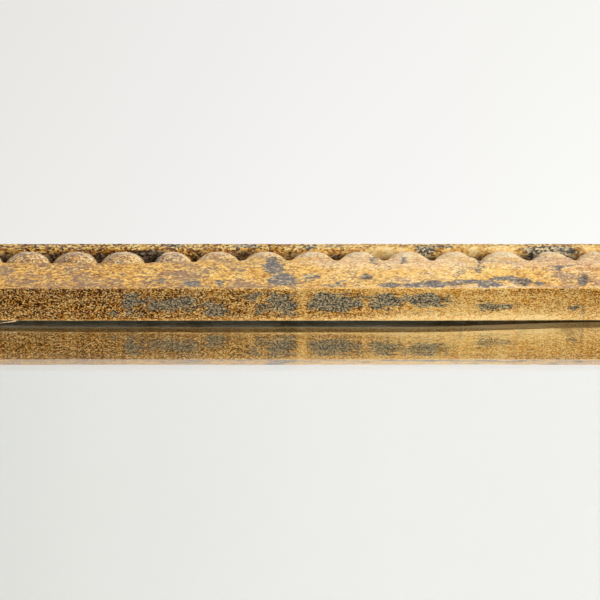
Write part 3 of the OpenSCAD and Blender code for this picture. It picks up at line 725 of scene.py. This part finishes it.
def sight_shape(side, along, edge, up, out, fore):
    """How far a point of the moulding moves out and fore, how worn it is, how darkened by dirt and
    painted shade, how pale from rubbing and painted highlights, and how much the gold is cleaned
    and lightened beyond its stretch. Edges 0 and 1 are the inner face, 2 to 4 the slope."""
    shifted = along + SIDES[side].start
    in_view = seen(side, along)
    wave = 0.16 * rough(shifted, up, 42.0, 30.0, 10) + 0.07 * rough(shifted, up, 9.0, 5.0, 11)
    fine = 0.05 * rough(shifted, up, 1.9, 1.2, 12, 2)
    if side == "top":
        lean = smooth(LEAN_FROM, LEAN_TO, along) * smooth(LEAN_END, LEAN_UNTIL, along)
        lean += LEFT_LEAN * smooth(-100.0, -132.0, along) * smooth(-220.0, -150.0, along)
    else:
        lean = 0.25 + 0.25 * rough(shifted, 0.0, 160.0, 1.0, 13)
    move_out = move_fore = 0.0
    worn = dirt_and_shade = pale = cleaner_and_lighter = 0.0
    if edge <= 1:
        share = min(up / ARRIS_UP, 1.0)
        inward = 4 * FACE_HOLLOW * share * (1 - share)
        move_out = inward + wave * share + 1.6 * fine + LEAN_OUT * lean * (1 - share)
        move_fore = -LEAN_BACK * lean * (1 - share)
        if in_view:
            ragged_up = (up + 2.2 * rough(along, up, 9.0, 6.0, 15)
                         + 1.0 * rough(along, up, 3.5, 2.0, 16))
            ragged_along = along + 5.0 * rough(along, up, 9.0, 3.5, 17)
            worn = 0.75 * places(SLATE_ON_FACE, ragged_along, ragged_up)
            worn += 0.27 * smooth(-95.0, -60.0, along) * smooth(80.0, 45.0, along)
            worn *= smooth(13.4, 11.8, up)
            if abs(along - STRIPE_AT) < STRIPE_HALF:
                worn, cleaner_and_lighter = 0.0, 0.35
        if in_view < 1.0:
            worn = mixed(chance(side, along, up, 26.0, 4.5, 0.16, 20), worn, in_view)
        worn *= smooth(0.6, 2.2, up)
        # Under the arris the gold is painted browner, as shade under the edge, but orange in the
        # middle of the stretch; towards the right the face is painted lighter, as light from the
        # right
        orange = 0.85 * smooth(-90.0, -30.0, along) * smooth(75.0, 45.0, along) * in_view
        cleaner_and_lighter += (0.10 * rough(shifted, up, 18.0, 4.0, 22)
                    + 0.25 * smooth(0.0, 60.0, along) * in_view
                    - (0.30 - 0.55 * orange) * smooth(11.0, 12.5, up))
        if in_view and up < CRACK_UP:
            crack = CRACK_AT + 0.5 * rough(along, up, 2.0, 2.0, 18)
            dirt_and_shade = 0.6 if abs(along - crack) < CRACK_HALF else 0.0
        # The face is painted paler towards the lip, as a highlight on its lower part, and more so
        # towards the right, as light from the right
        pale = ((0.26 + 0.16 * cleanness_and_light(side, along)) * smooth(5.0, 1.0, up)
                + 0.35 * smooth(1.2, 0.2, up)
                + 0.27 * smooth(0.0, 60.0, along) * in_view * smooth(11.5, 5.0, up))
    elif edge <= 4:
        band = up - ARRIS_UP
        # The arris has chips, and the crest is nibbled
        chipped = 0.5 * max(rough(shifted, 0.0, 7.0, 1.0, 14, 2) - 0.15, 0.0)
        chipped *= smooth(1.6, 0.0, band)
        nibbled = 0.4 * max(rough(shifted, 5.0, 6.0, 1.0, 19, 2), 0.0) * smooth(10.2, 11.6, band)
        web = web_reach(side, along) * smooth(SIGHT_W - 0.4, SIGHT_W, out)
        move_out = -(wave + fine) * 0.65 + chipped + WEB_OUT * web
        move_fore = (wave + fine) * 0.76 - chipped - nibbled + WEB_RISE * web
        if in_view:
            worn = places(SLATE_ON_SLOPE, along, up) + 0.05
            dirt_and_shade = 1.5 * places(HOLES_ON_SLOPE, along, up)
        if in_view < 1.0:
            worn = mixed(chance(side, along, up, 16.0, 3.2, 0.30, 24), worn, in_view)
        # Paler at the arris and towards the crest, and at random; on the stretch it is also painted
        # paler towards the right, as light from the right
        pale = (0.35 * smooth(1.3, 0.2, band) + 0.20 * smooth(7.5, 11.6, band)
                + 0.22 * rough(shifted, up, 30.0, 8.0, 26)
                + 0.30 * smooth(-60.0, 30.0, along) * in_view)
        cleaner_and_lighter = (-0.45 * smooth(70.0, 105.0, along) - 0.12 * smooth(8.0, 3.0, band)
                   - 0.4 * smooth(1.8, 0.5, band) * smooth(-80.0, -40.0, along)
                   * smooth(90.0, 55.0, along)) * in_view
        dirt_and_shade += 0.25 * rough(shifted, up, 14.0, 4.0, 27) * (1.0 - cleanness_and_light(side, along))
    elif edge == 5:
        # This face looks at the beads across the groove and is darkened all over: painted shade
        dirt_and_shade = 0.55
    else:
        # Under the lip, only seen in the plate: pale on the left and browner to the right; the
        # paleness is painted light, standing in for the light that reaches it through the glass
        rightward = smooth(0.0, 90.0, along) * seen(side, along)
        pale = mixed(0.35, 0.0, rightward)
        cleaner_and_lighter = 0.9 - (0.7 + 0.9 * rightward) * cleanness_and_light(side, along)
        foot = 1 - min(out / LIP_SET, 1.0)
        if fore < LIP_GAP + 0.3:
            move_out, move_fore = LEAN_OUT * lean * foot, -LEAN_BACK * lean * foot
    return (move_out, move_fore), worn, max(dirt_and_shade, 0.0), max(pale, 0.0), cleaner_and_lighter


# ---- Outer fillet ----
# A skin of gilded gesso wraps the rail's fillet. It starts inside the wood and stands a little
# proud, from low in the bead channel over the top to partway down the frame's outer side.

SKIN, SKIN_LOW, SKIN_END = 0.12, 9.0, 13.5
# Behind each gap between two beads the fillet is painted dark, as the shade in the hollow: (gap
# after
# this bead: how dark, and how far up)
GAP_SHADE = {-7: (1.1, 15.0), -6: (1.0, 15.6), -5: (1.1, 15.6), -4: (1.2, 17.4), -3: (0.7, 14.3),
           -2: (0.9, 17.2), -1: (0.6, 16.6), 0: (1.1, 15.6), 1: (0.0, 14.0), 2: (1.0, 14.4),
           3: (1.0, 14.8), 4: (1.0, 15.0), 5: (1.0, 14.4)}
USUAL_GAP_SHADE, GAP_SHADE_DARKNESS = (0.8, 15.5), 0.86
FILLET_CORNERS = [
    (CHANNEL_OUT - SKIN, SKIN_LOW), (CHANNEL_OUT - SKIN, FILLET_RISE - 0.05),
    (CHANNEL_OUT + 0.1, FILLET_RISE + SKIN), (FACE_W - 0.1, FILLET_RISE + SKIN),
    (FACE_W + SKIN, FILLET_RISE - 0.05), (FACE_W + SKIN, SKIN_END), (FACE_W - 0.5, SKIN_END),
    (FACE_W - 0.5, FILLET_RISE - 0.5), (CHANNEL_OUT + 0.5, FILLET_RISE - 0.5),
    (CHANNEL_OUT + 0.5, SKIN_LOW),
]
FILLET_PIECES = [10, 1, 6, 1, 4, 1, 1, 1, 1, 1]


def fillet_shape(side, along, edge, up, out, fore):
    """What sight_shape gives, for the fillet. Edge 0 faces the beads, 1 to 3 are the top and its
    two arrises, and 4 is the outer side."""
    shifted = along + SIDES[side].start
    in_view = seen(side, along)
    lumps = max(0.10 + 0.16 * rough(shifted, up, 1.7, 1.3, 30, 2)
                + 0.08 * rough(shifted, up, 7.0, 4.0, 31), 0.0)
    move = (0.0, 0.0)
    worn = dirt_and_shade = pale = bright = 0.0
    if edge == 0:
        move = (-lumps, 0.0)
        hand = places(SLATE_ON_FILLET, along, fore - FILLET_RISE)
        worn = mixed(chance(side, along, fore, 12.0, 4.0, 0.10, 32), hand, in_view)
        pitch = bead_row(side)[0]
        gap = math.floor(along / pitch)
        deep, reach = GAP_SHADE.get(gap, USUAL_GAP_SHADE) if side == "top" else USUAL_GAP_SHADE
        middle = 1 - abs(along / pitch - gap - 0.5) * 2
        level = fore - 1.2 * middle + 1.4 * rough(shifted, fore, 2.2, 1.6, 36, 2)
        # Painted shade in the hollow behind each gap, reaching highest in its middle
        dirt_and_shade = GAP_SHADE_DARKNESS * deep * smooth(reach + 0.8, reach - 0.8, level)
        # Painted highlight on the raised flakes, and elsewhere paler towards the right, as light
        # from the right
        bright = places(LIT_FLAKES_ON_FILLET, along, fore - FILLET_RISE) * in_view
        pale = max(bright, 0.22 + 0.26 * smooth(-60.0, 40.0, along) * in_view)
    elif edge <= 3:
        across = out - CHANNEL_OUT
        move = (0.0, lumps)
        hand = places(SLATE_ON_FILLET, along, across)
        worn = mixed(chance(side, along, across, 14.0, 3.0, 0.14, 33), hand, in_view)
        # Painted highlight on the raised flakes, and elsewhere paler towards the right, as light
        # from the right
        bright = places(LIT_FLAKES_ON_FILLET, along, across) * in_view
        pale = max(bright, 0.04 + 0.3 * rough(shifted, across, 22.0, 6.0, 34)
                   + 0.33 * smooth(-60.0, 40.0, along) * in_view)
    elif edge == 4:
        move = (lumps * smooth(SKIN_END, 17.0, fore), 0.0)
        worn = chance(side, along, fore, 18.0, 3.0, 0.05, 35)
        dirt_and_shade = 0.15
    return move, worn, max(dirt_and_shade, 0.0), max(pale, 0.0), 1.2 * bright


# ---- Beads ----
# Beads are numbered from the middle of their row. Some have lost a flank: (bead, side, depth in mm)

CHIPPED = [(-3, -1, 2.2), (3, 1, 1.0), (5, -1, 0.8), (1, 1, 0.7)]
# How far their crowns are rubbed flat
CROWN_WORN = 0.25
# They are flatter than balls, and a little longer than wide: how high their widest turn lies, how
# far their dome rises above it, and how much longer they are
BEAD_WIDEST, BEAD_DOME, BEAD_LONGER = 15.0, 6.3, 1.02
# A pale sheen is painted on the outer shoulder of their crowns, along the rim where they turn away
# from the view
SHEEN_SHOULDER = Vector((0.0, -0.77, 0.64))


def plain_bead(rings, turns):
    """A turned bead: an arc spun about the axis of its crown, and closed underneath."""
    bm = bmesh.new()
    low = math.acos((LIP_RISE - BEAD_WIDEST) / BEAD_R)
    angles = [low * ring / rings for ring in range(rings + 1)]
    arc = [bm.verts.new((BEAD_R * math.sin(a), -BEAD_R * math.cos(a), 0)) for a in angles]
    line = [bm.edges.new(pair) for pair in zip(arc, arc[1:])]
    bmesh.ops.spin(bm, geom=arc + line, cent=(0, 0, 0), axis=(0, 1, 0), angle=2 * math.pi,
                   steps=turns, use_merge=True)
    bmesh.ops.remove_doubles(bm, verts=bm.verts[:], dist=1e-3)
    bmesh.ops.edgeloop_fill(bm, edges=[e for e in bm.edges if e.is_boundary])
    bmesh.ops.recalc_face_normals(bm, faces=bm.faces[:])
    return mesh_of(bm, "plain_bead")


def add_bead(row, plain, side, number, pitch):
    """Sets one bead in its channel, worn in its own way, and joins it to its row."""
    bm = bmesh.new()
    bm.from_mesh(plain)
    grain_at, worn_at, dirt_and_shade_at, pale_and_lit_at, clean_and_lit_at = wear_layers(bm)
    centre = at(BEAD_OUT, BEAD_WIDEST, number * pitch)
    in_view = seen(side, centre.x)
    seed = centre.x + SIDES[side].start
    dent = sum(depth for bead, _, depth in CHIPPED if bead == number and in_view)
    dent_side = sum(way for bead, way, _ in CHIPPED if bead == number and in_view)
    swell = 1.0 + 0.015 * noise.noise(Vector((seed * 0.37, 3.0, 1.0)))
    for vert in bm.verts:
        turned = vert.co.normalized()
        crown = max(-turned.y, 0.0)
        knobs = noise.noise(turned * 2.2 + Vector((seed, 0, 0)))
        pits = noise.noise(turned * 7.0 + Vector((seed, 5, 0)))
        flat = CROWN_WORN * (0.6 + 0.8 * abs(knobs)) * smooth(0.86, 1.0, crown)
        chip = dent * smooth(0.25, 0.95, turned.x * dent_side + 0.25 * turned.z)
        reach = BEAD_R * swell + 0.14 * knobs + 0.06 * pits - flat - chip
        vert.co = turned * reach * (vert.co.length / BEAD_R)
        vert.co.x *= BEAD_LONGER
        if vert.co.y < 0:
            vert.co.y *= BEAD_DOME / BEAD_R
        vert.co.y = min(vert.co.y, BEAD_WIDEST - LIP_RISE)
        local = vert.co + centre
        along, out, fore = local.x, local.z, -local.y - BACK_DEPTH
        vert.co = local
        vert[grain_at] = (along + SIDES[side].start, out, fore)
        worn = 0.55 * smooth(0.2, 0.5, noise.noise(turned * 2.6 + Vector((seed, 0, 9))))
        vert[worn_at] = max(worn, 0.9 * smooth(0.0, 0.6, chip))
        # Painted shade at the bead's foot in its channel and on its flanks toward its neighbours
        vert[dirt_and_shade_at] = (0.85 * smooth(BEAD_WIDEST, 11.0, fore)
                          + 0.25 * smooth(0.75, 1.0, abs(turned.x)))
        # Painted light on each bead: a pale sheen on the crown's outer shoulder, and on the right
        # flank less chalk and brighter gold, as lit from the right
        sheen_rim = smooth(0.84, 0.95, turned.dot(SHEEN_SHOULDER)) * smooth(0.95, 0.55, abs(turned.x))
        vert[pale_and_lit_at] = (0.62 * sheen_rim + 0.14 + 0.30 * cleanness_and_light(side, along) + 0.35 * knobs
                         - 0.3 * smooth(0.1, 0.6, turned.x))
        vert[clean_and_lit_at] = cleanness_and_light(side, along) + 0.45 * smooth(0.1, 0.7, turned.x)
    worn_bead = mesh_of(bm, "worn_bead")
    row.from_mesh(worn_bead)
    bpy.data.meshes.remove(worn_bead)


# Rings and turns of a bead on the photographed side and on the others, and the strip's step
FINE_BEAD, PLAIN_BEAD, STRIP_STEP = (9, 26), (5, 12), 12.0


def bead_strip(side):
    """The strip in its channel, painted dark between the beads as the channel's shade, and the
    beads that stand on it.
    """
    near, far = SIGHT_W + STRIP_PLAY, CHANNEL_OUT - STRIP_PLAY
    top = LIP_RISE + STRIP_T
    corners = [(near, LIP_RISE), (near, top), (far, top), (far, LIP_RISE)]
    bm = run_section(side, corners, [1, 1, 1, 1], STRIP_STEP)
    grain_at, _, dirt_and_shade_at, _, _ = wear_layers(bm)
    for vert in bm.verts:
        vert[grain_at] = (vert.co.x + SIDES[side].start, vert.co.z, -vert.co.y - BACK_DEPTH)
        # Painted shade: the strip is dark all over, down in the channel
        vert[dirt_and_shade_at] = 0.9
    pitch, steps = bead_row(side)
    last = steps // 2
    # The corner beads belong to the top and bottom rows, so the stiles' rows stop one short
    if side in ("left", "right"):
        last -= 1
    plain = plain_bead(*(FINE_BEAD if side == "top" else PLAIN_BEAD))
    for number in range(-last, last + 1):
        add_bead(bm, plain, side, number, pitch)
    bmesh.ops.recalc_face_normals(bm, faces=bm.faces[:])
    piece = finish_piece(bm, "bead_row_" + side, side, [bead_gold], crease=60.0)
    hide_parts("bead_strip_" + side)


# ---- Building ----

# Length of one step along the photographed side, and along the others
FINE_STEP = 0.8
PLAIN_STEP = 2.0


def build_side(side):
    step = FINE_STEP if side == "top" else PLAIN_STEP
    bm = run_section(side, SIGHT_CORNERS, SIGHT_PIECES, step)
    dress(bm, side, SIGHT_CORNERS, SIGHT_FINISHES, sight_shape)
    piece = finish_piece(bm, "gilded_moulding_" + side, side, [burnished_gold, matt_gold])
    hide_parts("sight_moulding_" + side)
    bm = run_section(side, FILLET_CORNERS, FILLET_PIECES, step)
    dress(bm, side, FILLET_CORNERS, [0] * len(FILLET_CORNERS), fillet_shape)
    finish_piece(bm, "gilded_fillet_" + side, side, [stippled_gold])
    bead_strip(side)


# A pale splinter that hangs from the lip onto the glass: its root and its tip, along, out and fore
SPLINTER = ((-123.6, 0.1, LIP_GAP), (-132.5, -1.3, 0.35))


def build_splinter():
    root, tip = (at(out, fore, along) for along, out, fore in SPLINTER)
    bm = bmesh.new()
    bmesh.ops.create_cone(bm, segments=6, radius1=0.34, radius2=0.08, depth=(tip - root).length,
                          cap_ends=True)
    bmesh.ops.subdivide_edges(bm, edges=[e for e in bm.edges if e.calc_length() > 2.0], cuts=5)
    turn = (tip - root).to_track_quat("Z", "Y").to_matrix().to_4x4()
    bmesh.ops.transform(bm, matrix=Matrix.Translation((root + tip) / 2) @ turn, verts=bm.verts[:])
    grain_at, _, _, pale_and_lit_at, _ = wear_layers(bm)
    for vert in bm.verts:
        vert.co.z += 0.25 * math.sin((vert.co.x - root.x) * 0.7)
        vert[grain_at] = (vert.co.x, vert.co.z, vert.co.y)
        vert[pale_and_lit_at] = 1.2
    finish_piece(bm, "lip_splinter", "top", [bead_gold])


# How far the coat's bright face lies inside the glass, and how much smaller than the glass it is
COAT_BITE, COAT_SMALLER = 0.03, 0.1


def build_silvering():
    """A thin coat whose bright face lies just inside the glass, so that no air is left between."""
    half_w = FRAME_W / 2 - FACE_W + REBATE_W - GLASS_PLAY
    half_h = FRAME_H / 2 - FACE_W + REBATE_W - GLASS_PLAY
    bm = bmesh.new()
    bmesh.ops.create_cube(bm, size=1.0)
    front, back = -(BACK_DEPTH - GLASS_T) - COAT_BITE, -(BACK_DEPTH - GLASS_T) + SILVER_T
    bmesh.ops.scale(bm, verts=bm.verts[:], vec=(
        2 * half_w - COAT_SMALLER, back - front, 2 * half_h - COAT_SMALLER))
    bmesh.ops.translate(bm, verts=bm.verts[:], vec=(0, (front + back) / 2, 0))
    bmesh.ops.subdivide_edges(bm, edges=bm.edges[:], cuts=7, use_grid_fill=True)
    bmesh.ops.scale(bm, verts=bm.verts[:], vec=(MM, MM, MM))
    mesh = mesh_of(bm, "silvered_coat")
    for face in mesh.polygons:
        face.material_index = 1 if face.normal.y > 0.5 else 0
    mesh.materials.append(tin_silvering())
    mesh.materials.append(backing_paint())
    piece = set_down("silvered_coat", mesh)
    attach(piece, "frame")
    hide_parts("silvering")


def paint_nodes():
    """Gives the construction's own pieces their finishes."""
    finishes = (
        (rail_pine_across, "top_rail bottom_rail"),
        (rail_pine_upright, "left_stile right_stile"),
        (board_pine, "glazing_blocks backboard_1 backboard_2 backboard_3 backboard_4"),
        (batten_oak, "corner_keys setting_blocks hanging_rail middle_batten lower_batten"),
        (plate_glass(), "mirror_glass"),
        (old_iron(), "board_nails batten_screws hanger_plate_left hanger_plate_right "
                     "hanger_screws hanging_ring_left hanging_ring_right"),
    )
    for material, names in finishes:
        for name in names.split():
            slots = nodes[name].material_slots
            if not slots:
                nodes[name].data.materials.append(material)
            for slot in slots:
                slot.material = material


# ---- Studio ----

def make_world():
    """White all round. The camera, gloss and glass see it at full strength, a little darker on the
    left and overhead; what lights the object is a plainer and dimmer white."""
    world = bpy.data.worlds.new("white_studio")
    world.use_nodes = True
    t = world.node_tree
    t.nodes.clear()
    way = add(t, "TexCoord").outputs["Generated"]
    axes = add(t, "SeparateXYZ", (way,))
    # The plate shows the wall behind the camera, whose darker part reaches further right
    behind = add(t, "Math", (axes.outputs["Y"], 0.0), operation="LESS_THAN")
    moved = add(t, "Math", (behind, -0.035, axes.outputs["X"]), operation="MULTIPLY_ADD")
    across = add(t, "MapRange", (moved, -0.18, 0.12, 0.0, 1.0))
    wall = add(t, "ValToRGB", (across,), stops=[
        (0.0, "#e3e3e0"), (0.2, "#edece9"), (0.6, "#f8f6f5"), (1.0, "#fcfcf9")])
    overhead = add(t, "MapRange", (axes.outputs["Z"], 0.88, 0.95, 1.0, 0.92))
    # The camera's side of the studio is darker, below what the plate shows of it
    low = add(t, "ValToRGB", (axes.outputs["Z"],), stops=[
        (0.05, "#f0f0f0"), (0.30, "#bebebe"), (0.62, "#bebebe"), (0.80, "#ffffff")])
    facing = add(t, "MapRange", (axes.outputs["Y"], 0.1, -0.3, 0.0, 1.0))
    darker = add(t, "Mix", {0: facing, 2: 1.0, 3: low}, data_type="FLOAT")
    level = add(t, "Math", (overhead, darker), operation="MULTIPLY")
    shaded = add(t, "VectorMath", {0: wall, "Scale": level}, operation="SCALE")
    light = add(t, "LightPath")
    either = add(t, "Math", (
        light.outputs["Is Camera Ray"], light.outputs["Is Glossy Ray"]), operation="MAXIMUM")
    seen_ray = add(t, "Math", (either, light.outputs["Is Transmission Ray"]), operation="MAXIMUM")
    shown = add(t, "Background", {"Color": shaded, "Strength": 1.0})
    lit = add(t, "Background", {"Color": linear("#fbfaf8"), "Strength": 0.72})
    both = add(t, "MixShader", (seen_ray, lit, shown))
    add(t, "OutputWorld", {"Surface": both})
    bpy.context.scene.world = world


# The floor's half size, and how far it lies under the frame, in metres
FLOOR_HALF, FLOOR_GAP = 18.0, 0.0005


def make_floor():
    """A pale matt floor under the frame, with faint scuffs."""
    bm = bmesh.new()
    bmesh.ops.create_grid(bm, x_segments=8, y_segments=8, size=FLOOR_HALF)
    bmesh.ops.translate(bm, verts=bm.verts[:], vec=(0, 0, -FRAME_H / 2 * MM - FLOOR_GAP))
    mesh = mesh_of(bm, "floor")
    made, t = new_material("pale_matt_floor")
    place = add(t, "TexCoord").outputs["Object"]
    scuffs = add(t, "TexNoise", {"Vector": place, "Scale": 3.0, "Detail": 4.0})
    colour = add(t, "ValToRGB", (scuffs,), stops=[(0.3, "#e4e2de"), (0.7, "#e9e7e4")])
    shader = add(t, "BsdfPrincipled", {
        "Base Color": colour, "Roughness": 0.9, "Specular IOR Level": 0.1})
    add(t, "OutputMaterial", {"Surface": shader})
    mesh.materials.append(made)
    floor = set_down("floor", mesh)


def make_lamp(name, place, aim, size, watts, spread):
    """A round soft lamp, all in metres, watts and degrees."""
    lamp = bpy.data.lights.new(name, "AREA")
    lamp.shape, lamp.size, lamp.energy, lamp.spread = "DISK", size, watts, math.radians(spread)
    holder = set_down(name, lamp)
    holder.location = place
    holder.rotation_euler = (Vector(aim) - Vector(place)).to_track_quat("-Z", "Y").to_euler()


make_camera()
make_world()
make_floor()
make_lamp("key", place=(1.45, -0.85, -0.15), aim=(0, 0, 0.6), size=0.9, watts=14.6, spread=120.0)
for side in SIDES:
    build_side(side)
build_splinter()
build_silvering()
paint_nodes()

view = bpy.context.scene.view_settings
view.view_transform = "Standard"
